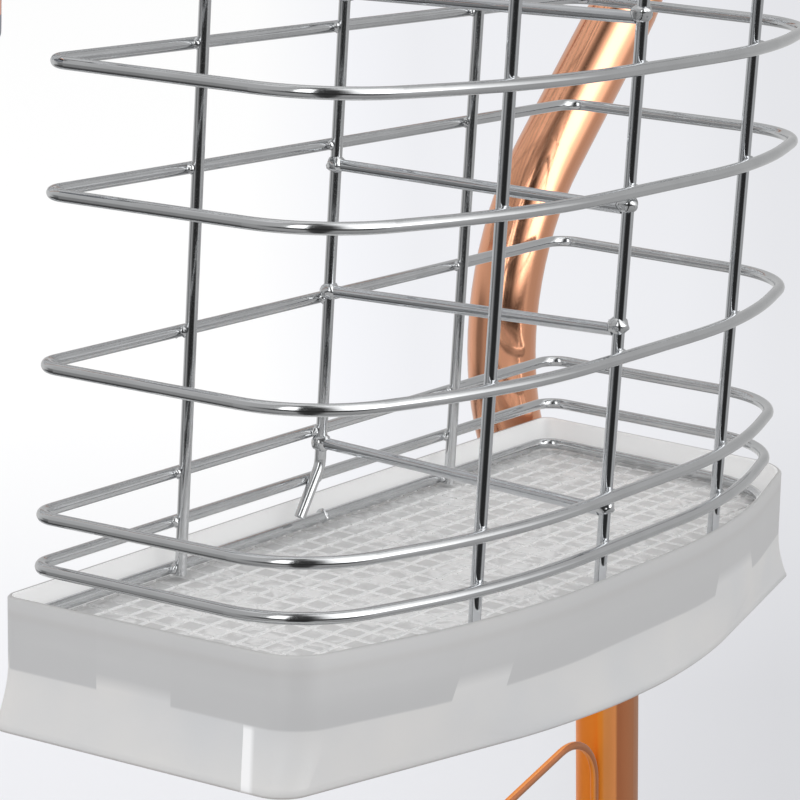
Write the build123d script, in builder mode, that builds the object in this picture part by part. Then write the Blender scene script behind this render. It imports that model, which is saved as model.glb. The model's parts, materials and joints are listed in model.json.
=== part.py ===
from build123d import *

import os
from math import cos, radians, sin, sqrt, tan

# Two-tier dish drainer: a stand of two bent tubes with a plate rack on top, a dish rack and a drip
# tray below, and a wire cutlery basket with a drip cup on the right side.
# Millimetres. +Z is up, +X points to the cutlery basket and +Y to the back. The origin is the middle
# of the footprint, on the worktop.

os.makedirs("parts", exist_ok=True)

# Clearances: between pieces that come apart, in a sliding fit, and the overrun of cuts
rest_gap = 0.3
fit_gap = 0.05
overrun = 1.0

# Side frames: one tube each, from its front upper end over the waist down to the foot
frame_spacing = 420.0
tube_diameter = 18.0
tube_wall = 1.2
front_end_reach = 109.2
front_end_drop = 37.4
front_bend = 28.0
arm_height = 405.0
arm_bend = 34.0
arm_angle = 46.9
waist_back = 75.6
waist_share = 0.6721
waist_bend = 65.7
knee_back = 160.1
knee_share = 0.41753
knee_bend = 50.0
post_lean = 6.15
heel_bend = 45.0
foot_height = 12.0
foot_reach = 105.0

# End plugs and rubber foot rings
plug_head = 6.0
plug_stem = 7.0
plug_edge = 2.5
foot_ring_diameter = 26.0
foot_ring_width = 16.0
foot_ring_front = 90.0
foot_ring_back = 108.0

# Ties between the frames and their screws
tie_diameter = 10.0
tie_bore = 4.2
tie_bore_depth = 22.0
upper_tie_drop = 20.0
lower_tie_front = 62.0
lower_tie_back = 60.0
screw_diameter = 4.0
screw_hole = 4.4
screw_engagement = 16.0
screw_head_diameter = 8.0
screw_head_height = 2.4
screw_socket = 2.5
screw_socket_depth = 1.4

# Guard wires in the lower bows of the frames
guard_wire = 2.3
guard_offset = 2.0
guard_front_reach = 60.0
guard_front_height = 87.0
guard_back_drop = 22.1
guard_back_leg = 43.0
guard_front_bend = 14.0
guard_back_bend = 15.0

# Racks: wire sizes, spacing and the two outlines
rim_wire = 5.0
grille_wire = 3.0
rack_half_width = 190.0
rack_corner = 20.0
grille_spacing = 24.0
grille_count = 15
upper_rack_edge = 5.0
upper_rack_rise = 42.0
lower_rack_front = 103.0
lower_rack_back = 103.0
lower_rack_height = 44.0
lower_rack_rise = 36.0
skid_wire = 4.0
skid_rise = 8.0
skid_overhang = 14.0
skid_bend = 8.0
lower_long_wire_shares = (-0.78, -0.46, 0.0, 0.36, 0.68)
side_upright_shares = (-0.62, -0.23, 0.18, 0.54)

# Plate pegs: two rows of bent wires on the upper rack, with the front feet of each row as a share of
# the rack's half depth
peg_front_share = -0.46
peg_back_share = 0.36
edge_wire_share = -0.80
peg_width = 40.0
peg_spacing = 28.0
peg_count = 12
peg_bend = 14.0
peg_front_rise = 34.0
peg_back_rise = 56.0

# Drip tray
tray_half_width = 172.0
tray_half_depth = 98.0
tray_height = 18.0
tray_wall = 2.0
tray_corner = 22.0
tray_lip = 4.0

# Cutlery basket: its flat back hangs beside the right tube
basket_wire = 2.7
basket_weld_depth = 0.36
basket_rim_wire = 3.5
basket_stand_off = 14.7
basket_drop = 165.0
basket_half_width = 100.0
basket_reach = 86.4
basket_height = 145.5
basket_back_bend = 5.4
basket_corner_bend = 25.6
basket_bow_bend = 160.0
basket_pivot_height = 63.2
basket_lean_out = 0.70
basket_lean_back = 0.47
basket_corner_out_share = 0.799
basket_corner_along_share = 0.970
basket_shoulder_share = 0.464

# Ring heights as shares of the basket's height, with the tilt of each ring in degrees
ring_height_shares = (0.0131, 0.0895, 0.1687, 0.3856, 0.6330, 0.8165)
ring_tilts_out = (0.88, 1.31, 1.55, 0.88, 1.08, 0.54)
ring_tilts_back = (0.29, 0.27, 0.26, 0.09, -0.19, -0.24)

# Uprights: places along the flat back and along the bow, as shares of the half width
back_upright_shares = (-0.523, -0.0215, 0.5235)
bow_upright_shares = (-0.518, -0.073, 0.4595)
bent_end_height = 15.5
bent_end_shift = 6.9
bent_end_low = 4.0
bent_end_bend = 6.0
hook_leg = 26.0
hook_bend = 7.0
hook_gap = 0.8

# Divider wires, from the middle back upright to the middle bow upright
divider_back_shares = (0.144, 0.394, 0.5975, 0.868)
divider_bow_shares = (0.156, 0.434, 0.617, 0.897)

# Drip cup under the basket: what its outline is wider than the basket's, at the back, at the sides,
# at the corners and at the bow
cup_wall = 1.4
cup_rim_height = 7.4
cup_floor_gap = 1.2
cup_step_depth = 8.4
cup_skirt_depth = 21.3
cup_tilt_out = 1.32
cup_tilt_back = 0.46
cup_back_growth = 3.6
cup_side_growth = 4.7
cup_corner_out_growth = 2.4
cup_corner_side_growth = 3.2
cup_bow_growth = 3.3
cup_shoulder_shift = 0.5
cup_back_bend = 3.5
cup_corner_bend = 12.0
cup_bow_bend = 163.0

# Lower edge of the cup's skirt, which flares out
skirt_back_growth = 4.2
skirt_side_growth = 8.5
skirt_corner_out_growth = 3.0
skirt_corner_side_growth = 7.4
skirt_bow_growth = 6.1
skirt_shoulder_shift = 22.4
skirt_back_bend = 4.0
skirt_corner_bend = 8.0
skirt_bow_bend = 160.0

# Worked out: tube corner points seen from the side, as (back, up)
tube_radius = tube_diameter / 2
tube_bore = tube_diameter - 2 * tube_wall
frame_x = frame_spacing / 2
front_end_height = arm_height - front_end_drop
waist_height = waist_share * arm_height
knee_height = knee_share * arm_height
upper_tie_height = arm_height - upper_tie_drop
basket_base = arm_height - basket_drop
arm_corner_back = waist_back + (arm_height - waist_height) / tan(radians(arm_angle))
heel_corner_back = knee_back + (knee_height - foot_height) * tan(radians(post_lean))
tube_corners = [
    (-front_end_reach, front_end_height),
    (-front_end_reach, arm_height),
    (arm_corner_back, arm_height),
    (waist_back, waist_height),
    (knee_back, knee_height),
    (heel_corner_back, foot_height),
    (-foot_reach, foot_height),
]
tube_bends = [front_bend, arm_bend, waist_bend, knee_bend, heel_bend]

# Worked out: where the upper ties cross the bends of the tubes
arm_bend_run = arm_bend * tan(radians(90 - arm_angle / 2))
arm_bend_back = arm_corner_back - arm_bend_run
upper_tie_back = arm_bend_back + sqrt(arm_bend**2 - (upper_tie_height - arm_height + arm_bend) ** 2)
front_bend_rise = upper_tie_height - arm_height + front_bend
upper_tie_front = front_end_reach - front_bend + sqrt(front_bend**2 - front_bend_rise**2)
tie_places = [
    ("tie_upper_front", -upper_tie_front, upper_tie_height),
    ("tie_upper_rear", upper_tie_back, upper_tie_height),
    ("tie_lower_front", -lower_tie_front, foot_height),
    ("tie_lower_rear", lower_tie_back, foot_height),
]

# Worked out: the middle of the footprint, seen from the stand's own middle
heel_bend_run = heel_bend * tan(radians((90 + post_lean) / 2))
stand_back = heel_corner_back - heel_bend_run + heel_bend + tube_radius
stand_front = front_end_reach + tube_radius
basket_x = frame_x + basket_stand_off
lean_out, lean_back = tan(radians(basket_lean_out)), tan(radians(basket_lean_back))
ring_heights = [share * basket_height for share in ring_height_shares]
cup_shift = lean_out * (ring_heights[0] - basket_pivot_height)
cup_swing = cup_skirt_depth * sin(radians(cup_tilt_out))
cup_reach = basket_reach + skirt_bow_growth + cup_shift + cup_swing
stand_side = frame_x + foot_ring_diameter / 2
middle_x = (basket_x + cup_reach - stand_side) / 2
middle_y = (stand_back - stand_front) / 2


def level(height, x=0.0, y=0.0):
    """Level plane at a height, with its origin at x, y of the stand's middle."""
    return Plane(origin=(x - middle_x, y - middle_y, height))


def across(x):
    """Side plane at x: its own axes are back and up."""
    return Plane(origin=(x - middle_x, -middle_y, 0), x_dir=(0, 1, 0), z_dir=(1, 0, 0))


def along(y):
    """Front plane at y: its own axes are right and up, and it faces the front."""
    return Plane(origin=(-middle_x, y - middle_y, 0), x_dir=(1, 0, 0), z_dir=(0, -1, 0))


def tilted(origin, out, back):
    """Level plane tilted by small angles, so that it rises to the right and to the back."""
    slope_out, slope_back = tan(radians(out)), tan(radians(back))
    return Plane(origin=origin, x_dir=(1, 0, slope_out), z_dir=(-slope_out, -slope_back, 1))


def save(part, name):
    part.label = name
    export_step(part, f"parts/{name}.step")


def bent_wire(plane, points, bends, diameter, close=False):
    """Round wire along straight runs joined by arcs, all in one plane."""
    with BuildPart() as wire:
        with BuildLine(plane) as route:
            FilletPolyline(*points, radius=bends, close=close)
        with BuildSketch(Plane(origin=route.line @ 0, z_dir=route.line % 0)):
            Circle(diameter / 2)
        sweep()
    return wire.part


# Side frames, with cross holes for the tie screws

for side, sign in (("right", 1), ("left", -1)):
    with BuildPart() as side_frame:
        with BuildLine(across(sign * frame_x)) as tube_route:
            FilletPolyline(*tube_corners, radius=tube_bends)
        with BuildSketch(Plane(origin=tube_route.line @ 0, z_dir=tube_route.line % 0)):
            Circle(tube_radius)
            Circle(tube_bore / 2, mode=Mode.SUBTRACT)
        sweep()
        with BuildSketch(across(sign * frame_x)):
            with Locations(*[(back, up) for _, back, up in tie_places]):
                Circle(screw_hole / 2)
        extrude(amount=tube_radius + overrun, both=True, mode=Mode.SUBTRACT)
    save(side_frame.part, f"side_frame_{side}")

    # End plugs: a head as wide as the tube and a stem inside it
    with BuildPart() as upper_plug:
        with BuildSketch(level(front_end_height, sign * frame_x, -front_end_reach)):
            Circle(tube_radius)
        extrude(amount=-plug_head)
        fillet(upper_plug.edges().group_by(Axis.Z)[0], plug_edge)
        with BuildSketch(level(front_end_height, sign * frame_x, -front_end_reach)):
            Circle(tube_bore / 2 - fit_gap)
        extrude(amount=plug_stem)
    save(upper_plug.part, f"plug_upper_{side}")

    with BuildPart() as foot_plug:
        with BuildSketch(along(-foot_reach)):
            with Locations((sign * frame_x, foot_height)):
                Circle(tube_radius)
        extrude(amount=plug_head)
        fillet(foot_plug.edges().group_by(Axis.Y)[0], plug_edge)
        with BuildSketch(along(-foot_reach)):
            with Locations((sign * frame_x, foot_height)):
                Circle(tube_bore / 2 - fit_gap)
        extrude(amount=-plug_stem)
    save(foot_plug.part, f"plug_foot_{side}")

    # Rubber foot rings, cut flat where they stand
    for place, ring_y in (("front", -foot_ring_front), ("rear", foot_ring_back)):
        with BuildPart() as foot_ring:
            with BuildSketch(along(ring_y)) as ring_profile:
                with Locations((sign * frame_x, foot_height)):
                    Circle(foot_ring_diameter / 2)
                    Circle(tube_radius + fit_gap, mode=Mode.SUBTRACT)
                with Locations((sign * frame_x, -foot_ring_diameter / 2)):
                    Rectangle(foot_ring_diameter, foot_ring_diameter, mode=Mode.SUBTRACT)
            extrude(amount=foot_ring_width / 2, both=True)
        save(foot_ring.part, f"foot_{place}_{side}")

# Ties: round bars with a threaded bore in each end

tie_half = frame_x - tube_radius
for tie_name, tie_y, tie_z in tie_places:
    with BuildPart() as tie:
        with BuildSketch(across(0)):
            with Locations((tie_y, tie_z)):
                Circle(tie_diameter / 2)
        extrude(amount=tie_half, both=True)
        for end in (-1, 1):
            with BuildSketch(across(end * (tie_half - tie_bore_depth))):
                with Locations((tie_y, tie_z)):
                    Circle(tie_bore / 2)
            extrude(amount=end * (tie_bore_depth + overrun), mode=Mode.SUBTRACT)
    save(tie.part, tie_name)

# Tie screws: pan heads outside the tubes, shanks through the tubes into the ties

with BuildPart() as tie_screws:
    for sign in (-1, 1):
        with BuildSketch(across(sign * (frame_x + tube_radius))):
            with Locations(*[(back, up) for _, back, up in tie_places]):
                Circle(screw_head_diameter / 2)
        extrude(amount=sign * screw_head_height)
        with BuildSketch(across(sign * (tie_half - screw_engagement))):
            with Locations(*[(back, up) for _, back, up in tie_places]):
                Circle(screw_diameter / 2)
        extrude(amount=sign * (screw_engagement + tube_diameter))
        with BuildSketch(across(sign * (frame_x + tube_radius + screw_head_height))):
            with Locations(*[(back, up) for _, back, up in tie_places]):
                RegularPolygon(screw_socket / 2, 6)
        extrude(amount=-sign * screw_socket_depth, mode=Mode.SUBTRACT)
save(tie_screws.part, "tie_screws")

# Guard wires: up from the foot, sloping to the back and down along the post

guard_back_height = knee_height - guard_back_drop
guard_back_end = guard_back_height - guard_back_leg
guard_seat = sqrt((tube_radius + guard_wire / 2) ** 2 - guard_offset**2) / cos(radians(post_lean))


def guard_back(height):
    """Back place of the guard wire's rear leg, which lies against the post."""
    return knee_back + (knee_height - height) * tan(radians(post_lean)) - guard_seat


guard_points = [
    (-guard_front_reach, foot_height + tube_radius),
    (-guard_front_reach, guard_front_height),
    (guard_back(guard_back_height), guard_back_height),
    (guard_back(guard_back_end), guard_back_end),
]
for side, sign in (("right", 1), ("left", -1)):
    guard = bent_wire(
        across(sign * (frame_x + guard_offset)),
        guard_points,
        [guard_front_bend, guard_back_bend],
        guard_wire,
    )
    save(guard, f"guard_wire_{side}")


# Racks


def rack(name, middle, half, grille_height, rise, long_wires):
    """Wire rack about a middle place, with the places of its long wires from that middle."""
    inner = rim_wire / 2
    corners = [
        (-rack_half_width, -half),
        (rack_half_width, -half),
        (rack_half_width, half),
        (-rack_half_width, half),
    ]
    bends = [rack_corner] * len(corners)
    rim_plane = level(grille_height + rise, 0, middle)
    base_plane = level(grille_height + (grille_wire + rim_wire) / 2, 0, middle)
    save(bent_wire(rim_plane, corners, bends, rim_wire, close=True), f"{name}_rim")

    # Base grille: frame wire, cross wires under it and long wires inside it
    with BuildPart() as base:
        add(bent_wire(base_plane, corners, bends, rim_wire, close=True))
        with BuildSketch(along(middle)):
            with Locations((0, grille_height)):
                with GridLocations(grille_spacing, 0, grille_count, 1):
                    Circle(grille_wire / 2)
        extrude(amount=half, both=True)
        with BuildSketch(across(0)):
            with Locations(*[(middle + place, grille_height + grille_wire) for place in long_wires]):
                Circle(grille_wire / 2)
        extrude(amount=rack_half_width - inner, both=True)
    save(base.part, f"{name}_grille")

    # Uprights inside the rim and the base wire
    inset = inner + grille_wire / 2
    low = grille_height - grille_wire / 2
    for row, row_y in (("front", -half + inset), ("rear", half - inset)):
        with BuildPart() as uprights:
            with BuildSketch(level(grille_height + grille_wire / 2, 0, middle + row_y)):
                with GridLocations(grille_spacing, 0, grille_count, 1):
                    Circle(grille_wire / 2)
            extrude(amount=rise - grille_wire / 2)
        save(uprights.part, f"{name}_uprights_{row}")
    for row, row_x in (("left", -rack_half_width + inset), ("right", rack_half_width - inset)):
        with BuildPart() as uprights:
            with BuildSketch(level(low, row_x, middle)):
                with Locations(*[(0, share * half) for share in side_upright_shares]):
                    Circle(grille_wire / 2)
            extrude(amount=rise + grille_wire / 2)
        save(uprights.part, f"{name}_uprights_{row}")


upper_grille_height = upper_tie_height + tie_diameter / 2 + rest_gap + grille_wire / 2
upper_middle = (upper_tie_back - upper_tie_front) / 2
upper_half = (upper_tie_back + upper_tie_front) / 2 + upper_rack_edge
lower_middle = (lower_rack_back - lower_rack_front) / 2
lower_half = (lower_rack_back + lower_rack_front) / 2
peg_front, peg_back = peg_front_share * upper_half, peg_back_share * upper_half
upper_long_wires = [
    edge_wire_share * upper_half,
    peg_front,
    peg_front + peg_width,
    peg_back,
    peg_back + peg_width,
]
lower_long_wires = [share * lower_half for share in lower_long_wire_shares]
rack("upper_rack", upper_middle, upper_half, upper_grille_height, upper_rack_rise, upper_long_wires)
rack("lower_rack", lower_middle, lower_half, lower_rack_height, lower_rack_rise, lower_long_wires)

# Plate pegs: two rows of bent wires standing on pairs of long wires

peg_foot = upper_grille_height + 1.5 * grille_wire
for row, place, rise in (("front", peg_front, peg_front_rise), ("rear", peg_back, peg_back_rise)):
    first = upper_middle + place
    with BuildPart() as pegs:
        for number in range(peg_count):
            peg_x = (number - (peg_count - 1) / 2) * peg_spacing
            peg_points = [
                (first, peg_foot),
                (first, peg_foot + rise),
                (first + peg_width, peg_foot + rise),
                (first + peg_width, peg_foot),
            ]
            add(bent_wire(across(peg_x), peg_points, [peg_bend] * 2, grille_wire))
    save(pegs.part, f"plate_pegs_{row}")

# Skids: the lower rack stands with them on the lower ties

skid_height = foot_height + tie_diameter / 2 + rest_gap + skid_wire / 2
skid_top = lower_rack_height + skid_rise
skid_x = rack_half_width - rim_wire / 2 - grille_wire - skid_wire / 2
with BuildPart() as skids:
    for sign in (-1, 1):
        skid_points = [
            (-lower_tie_front - skid_overhang, skid_top),
            (-lower_tie_front - skid_overhang, skid_height),
            (lower_tie_back + skid_overhang, skid_height),
            (lower_tie_back + skid_overhang, skid_top),
        ]
        add(bent_wire(across(sign * skid_x), skid_points, [skid_bend] * 2, skid_wire))
save(skids.part, "lower_rack_skids")

# Drip tray on the lower ties

tray_base = foot_height + tie_diameter / 2 + rest_gap
with BuildPart() as drip_tray:
    with BuildSketch(level(tray_base)):
        RectangleRounded(2 * (tray_half_width - tray_lip), 2 * tray_half_depth, tray_corner)
    extrude(amount=tray_height)
    with BuildSketch(level(tray_base + tray_wall)):
        RectangleRounded(
            2 * (tray_half_width - tray_lip - tray_wall),
            2 * (tray_half_depth - tray_wall),
            tray_corner - tray_wall,
        )
    extrude(amount=tray_height, mode=Mode.SUBTRACT)
    with BuildSketch(level(tray_base + tray_height - tray_wall)):
        RectangleRounded(2 * tray_half_width, 2 * tray_half_depth, tray_corner)
        RectangleRounded(
            2 * (tray_half_width - tray_lip - tray_wall),
            2 * (tray_half_depth - tray_wall),
            tray_corner - tray_wall,
            mode=Mode.SUBTRACT,
        )
    extrude(amount=tray_wall)
save(drip_tray.part, "drip_tray")

# Cutlery basket: its uprights lean a little, in a frame whose x runs from the flat back to the bow

basket_axis = Vector(lean_out, lean_back, 1).normalized()
pivot = Vector(basket_x - middle_x, -middle_y, basket_base + basket_pivot_height)
basket_frame = Plane(
    origin=pivot - Vector(lean_out, lean_back, 1) * basket_pivot_height,
    x_dir=(1, 0, -lean_out),
    z_dir=basket_axis,
)


def in_basket(x, y, z):
    """Point of the basket's own frame."""
    return basket_frame.from_local_coords(Vector(x, y, z))


def basket_middle(height):
    """Middle of the basket's outline at a height, on its leaning axis."""
    rise = height - basket_pivot_height
    return pivot + Vector(basket_reach / 2 + lean_out * rise, lean_back * rise, rise)


corner_out = basket_corner_out_share * basket_reach
corner_side = basket_corner_along_share * basket_half_width
shoulder = basket_shoulder_share * basket_half_width


def mirrored(side):
    """Closed row of corners from the rear half of an outline, about the basket's middle."""
    corners = [(x, -y) for x, y in side] + side[::-1]
    return [(x - basket_reach / 2, y) for x, y in corners]


# Outline: a flat back, slanting sides and a bow
ring_corners = mirrored([(0, basket_half_width), (corner_out, corner_side), (basket_reach, shoulder)])
ring_bends = [basket_back_bend, basket_corner_bend, basket_bow_bend]
ring_bends = ring_bends + ring_bends[::-1]


# The thicker rim is a little wider than the rings, so that it stays flush with them on the inside
rim_growth = (basket_rim_wire - basket_wire) / 2
rim_corners = mirrored(
    [
        (-rim_growth, basket_half_width + rim_growth),
        (corner_out + rim_growth, corner_side + rim_growth),
        (basket_reach + rim_growth, shoulder),
    ]
)


def ring(height, tilt_out, tilt_back, diameter, corners=ring_corners):
    """Closed ring wire, tilted a little."""
    plane = tilted(basket_middle(height), tilt_out, tilt_back)
    return bent_wire(plane, corners, ring_bends, diameter, close=True)


for number, height in enumerate(ring_heights):
    ring_wire = ring(height, ring_tilts_out[number], ring_tilts_back[number], basket_wire)
    save(ring_wire, f"basket_ring_{number + 1}")
rim = ring(basket_height, ring_tilts_out[-1], ring_tilts_back[-1], basket_rim_wire, rim_corners)
save(rim, "basket_rim")


def upright_end(number, x, y, height):
    """Height in the basket's frame at which an upright at x, y meets a ring's middle plane."""
    slope_out = tan(radians(ring_tilts_out[number])) + lean_out
    slope_back = tan(radians(ring_tilts_back[number])) + lean_back
    return height + basket_reach / 2 * lean_out + (x - basket_reach / 2) * slope_out + y * slope_back


# Back uprights inside the rings, pressed into them by the welds: the outer two run up and hook over
# the tube

upright_inset = basket_wire - basket_weld_depth
back_places = [share * basket_half_width for share in back_upright_shares]
for place, hook_y in (("front", back_places[0]), ("rear", back_places[2])):
    hook_plane = Plane(
        origin=in_basket(0, hook_y, 0), x_dir=basket_frame.x_dir, z_dir=-basket_frame.y_dir
    )
    arm = basket_frame.to_local_coords(Vector(frame_x - middle_x, hook_y - middle_y, arm_height))
    hook_height = arm.Z + tube_radius + rest_gap + basket_wire / 2
    hook_inner = arm.X - tube_radius - hook_gap - basket_wire / 2
    hook_low = upright_end(0, upright_inset, hook_y, ring_heights[0]) - basket_wire / 2
    hook_points = [
        (upright_inset, hook_low),
        (upright_inset, hook_height),
        (hook_inner, hook_height),
        (hook_inner, hook_height - hook_leg),
    ]
    save(bent_wire(hook_plane, hook_points, [hook_bend] * 2, basket_wire), f"basket_hook_{place}")

# The middle back upright has a bent lower end

middle_plane = Plane(
    origin=in_basket(upright_inset, 0, 0), x_dir=basket_frame.y_dir, z_dir=basket_frame.x_dir
)
middle_points = [
    (back_places[1] - bent_end_shift, bent_end_low),
    (back_places[1], bent_end_height),
    (back_places[1], upright_end(-1, upright_inset, back_places[1], basket_height)),
]
middle_upright = bent_wire(middle_plane, middle_points, [bent_end_bend], basket_wire)
save(middle_upright, "basket_upright_middle")

# Bow uprights, inside the rings at given places along the bow

with BuildLine() as bow_line:
    FilletPolyline(*ring_corners, radius=ring_bends, close=True)
bow_wire = bow_line.wires()[0]
bow_places = []
for number, share in enumerate(bow_upright_shares):
    chord_y = share * basket_half_width
    chord = Edge.make_line((0, chord_y), (basket_reach, chord_y))
    on_ring = Vector(*bow_wire.intersect(chord).vertices()[0])
    along_ring = bow_wire % bow_wire.param_at_point(on_ring)
    inward = Vector(-abs(along_ring.Y), -abs(along_ring.X) if share > 0 else abs(along_ring.X), 0)
    place = on_ring + inward * upright_inset + Vector(basket_reach / 2, 0, 0)
    bow_places.append(place)
    low = upright_end(0, place.X, place.Y, ring_heights[0]) - basket_wire / 2
    high = upright_end(-1, place.X, place.Y, basket_height)
    with BuildPart() as bow_upright:
        with BuildSketch(Plane(origin=in_basket(place.X, place.Y, low), z_dir=basket_axis)):
            Circle(basket_wire / 2)
        extrude(amount=high - low)
    save(bow_upright.part, f"basket_upright_bow_{number + 1}")

# Divider wires, butted between the middle uprights

with BuildPart() as divider_wires:
    for back_share, bow_share in zip(divider_back_shares, divider_bow_shares):
        start = in_basket(upright_inset, back_places[1], back_share * basket_height)
        end = in_basket(bow_places[1].X, bow_places[1].Y, bow_share * basket_height)
        run = (end - start).normalized()
        start, end = start + run * basket_wire / 2, end - run * basket_wire / 2
        with BuildSketch(Plane(origin=start, z_dir=run)):
            Circle(basket_wire / 2)
        extrude(amount=(end - start).length)
save(divider_wires.part, "basket_divider_wires")

# Drip cup: the basin holds the lowest ring, and the skirt flares below its floor

ring_low = ring_heights[0] - basket_wire / 2
cup_middle = basket_middle(ring_heights[0])
cup_plane = tilted(cup_middle - Vector(0, 0, ring_heights[0]), cup_tilt_out, cup_tilt_back)
cup_floor = ring_low - cup_floor_gap
cup_corners = mirrored(
    [
        (-cup_back_growth, basket_half_width + cup_side_growth),
        (corner_out + cup_corner_out_growth, corner_side + cup_corner_side_growth),
        (basket_reach + cup_bow_growth, shoulder - cup_shoulder_shift),
    ]
)
skirt_corners = mirrored(
    [
        (-skirt_back_growth, basket_half_width + skirt_side_growth),
        (corner_out + skirt_corner_out_growth, corner_side + skirt_corner_side_growth),
        (basket_reach + skirt_bow_growth, shoulder - skirt_shoulder_shift),
    ]
)
cup_bends = [cup_back_bend, cup_corner_bend, cup_bow_bend]
cup_bends = cup_bends + cup_bends[::-1]
skirt_bends = [skirt_back_bend, skirt_corner_bend, skirt_bow_bend]
skirt_bends = skirt_bends + skirt_bends[::-1]


def cup_outline(height, inset=0.0, corners=cup_corners, bends=cup_bends):
    """Sketch of the cup's outline at a height, moved inwards by an inset."""
    with BuildSketch(cup_plane.offset(height)) as outline:
        with BuildLine():
            FilletPolyline(*corners, radius=bends, close=True)
        make_face()
        if inset:
            offset(amount=-inset)
    return outline.sketch


with BuildPart() as drip_cup:
    add(cup_outline(-cup_step_depth))
    extrude(amount=cup_step_depth + cup_rim_height)
    add(cup_outline(-cup_step_depth))
    add(cup_outline(-cup_skirt_depth, 0, skirt_corners, skirt_bends))
    loft()
    # Basin above the floor
    add(cup_outline(cup_floor, cup_wall))
    extrude(amount=cup_rim_height - cup_floor + overrun, mode=Mode.SUBTRACT)
    # Open space under the floor, inside the skirt
    add(cup_outline(-cup_step_depth, cup_wall))
    extrude(amount=cup_step_depth + cup_floor - cup_wall, mode=Mode.SUBTRACT)
    add(cup_outline(-cup_step_depth, cup_wall))
    add(cup_outline(-cup_skirt_depth, cup_wall, skirt_corners, skirt_bends))
    loft(mode=Mode.SUBTRACT)
save(drip_cup.part, "drip_cup")
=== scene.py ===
# %% [markdown]
# # Two-tier dish drainer
# The metal work comes from the CAD frame: two bent copper plated tubes, chrome wire racks and a
# wire cutlery basket. This lesson gives those nodes their finishes, adds the weld beads that hold
# the wires, moulds a finer drip cup, and sets up light and camera like a product photograph.

# %% Load the CAD frame
import json
from math import pi, radians, tan

import bmesh
import bpy
import numpy as np
from mathutils import Matrix, Vector, noise


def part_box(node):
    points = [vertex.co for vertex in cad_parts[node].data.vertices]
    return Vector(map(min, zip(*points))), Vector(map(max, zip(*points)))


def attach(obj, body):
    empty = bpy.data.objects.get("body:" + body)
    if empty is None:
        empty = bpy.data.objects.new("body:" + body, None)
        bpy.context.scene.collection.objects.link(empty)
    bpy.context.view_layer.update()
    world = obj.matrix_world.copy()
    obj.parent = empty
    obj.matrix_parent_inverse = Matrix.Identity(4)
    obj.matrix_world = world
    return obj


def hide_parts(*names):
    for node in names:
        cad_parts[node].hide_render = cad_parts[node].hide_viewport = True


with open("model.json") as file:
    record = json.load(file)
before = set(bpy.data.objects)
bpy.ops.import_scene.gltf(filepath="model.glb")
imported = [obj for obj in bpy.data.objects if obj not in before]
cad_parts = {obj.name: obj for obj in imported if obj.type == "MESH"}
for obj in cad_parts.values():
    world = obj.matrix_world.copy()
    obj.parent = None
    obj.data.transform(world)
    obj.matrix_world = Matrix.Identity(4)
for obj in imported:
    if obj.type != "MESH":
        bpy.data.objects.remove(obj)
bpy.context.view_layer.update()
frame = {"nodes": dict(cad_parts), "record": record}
nodes = frame["nodes"]
MM = 0.001
print("CAD nodes:", len(nodes))

# %% [markdown]
# ## The camera
# A camera is a place and three directions. They were worked out from the basket's wires in the
# photograph, so they are typed in as they are, and the lens follows from the focal length in pixels.

# %% Camera
IMAGE_SIDE = 800
FOCAL_PIXELS = 3131.45
eye = Vector((0.603546, -0.603982, 0.446877))
looks_right = Vector((0.81039, 0.58430, 0.04308))
looks_up = Vector((-0.17392, 0.16969, 0.97003))
looks_back = Vector((0.55948, -0.79360, 0.23913))
camera_data = bpy.data.cameras.new("camera")
camera_data.sensor_width = 36.0
camera_data.lens = camera_data.sensor_width * FOCAL_PIXELS / IMAGE_SIDE
camera_data.clip_start = 0.05
camera_data.clip_end = 30.0
camera = bpy.data.objects.new("camera", camera_data)
bpy.context.scene.collection.objects.link(camera)
turn = Matrix((looks_right, looks_up, looks_back)).transposed()
camera.matrix_world = Matrix.Translation(eye) @ turn.to_4x4()
bpy.context.scene.camera = camera
print("lens", round(camera_data.lens, 2), "mm")

# %% [markdown]
# ## The studio
# Chrome has no colour of its own: what it shows is the room. A photographer puts white panels beside
# the object and leaves the side of the camera dark, so each wire gets a dark core and pale edges.
# The world does the same here. Camera rays see the white backdrop, soft light comes from all round,
# and glossy rays see the panels. The panels are placed by compass direction and height in the world,
# so they stay where they are when the camera moves.

# %% Node helpers
def tree_of(owner):
    """Empty node tree of a material or world, with a function that adds nodes to it."""
    owner.use_nodes = True
    tree = owner.node_tree
    tree.nodes.clear()

    def add(kind, settings=None, **sockets):
        """Node with its settings and with values or links at sockets, named or as i and a number."""
        node = tree.nodes.new(kind)
        for name, value in (settings or {}).items():
            setattr(node, name, value)
        for name, value in sockets.items():
            socket = node.inputs[int(name[1:])] if name[1:].isdigit() else node.inputs[name.replace("_", " ")]
            if isinstance(value, bpy.types.NodeSocket):
                tree.links.new(value, socket)
            else:
                socket.default_value = value
        return node

    return tree, add


def math_node(add, operation, first, second=0.0, third=0.0, clamp=False):
    """Output of one Math node."""
    settings = {"operation": operation, "use_clamp": clamp}
    return add("ShaderNodeMath", settings, i0=first, i1=second, i2=third).outputs[0]


def mapped(add, value, source, target):
    """Value moved from a source range to a target range, each (start, end), and kept inside it."""
    (from_min, from_max), (to_min, to_max) = source, target
    return add(
        "ShaderNodeMapRange", Value=value, From_Min=from_min, From_Max=from_max, To_Min=to_min, To_Max=to_max
    ).outputs[0]


def mixed(add, share, first, second, blend="MIX"):
    """Colour made of two colours."""
    settings = {"data_type": "RGBA", "blend_type": blend}
    return add("ShaderNodeMix", settings, i0=share, i6=first, i7=second).outputs[2]


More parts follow.
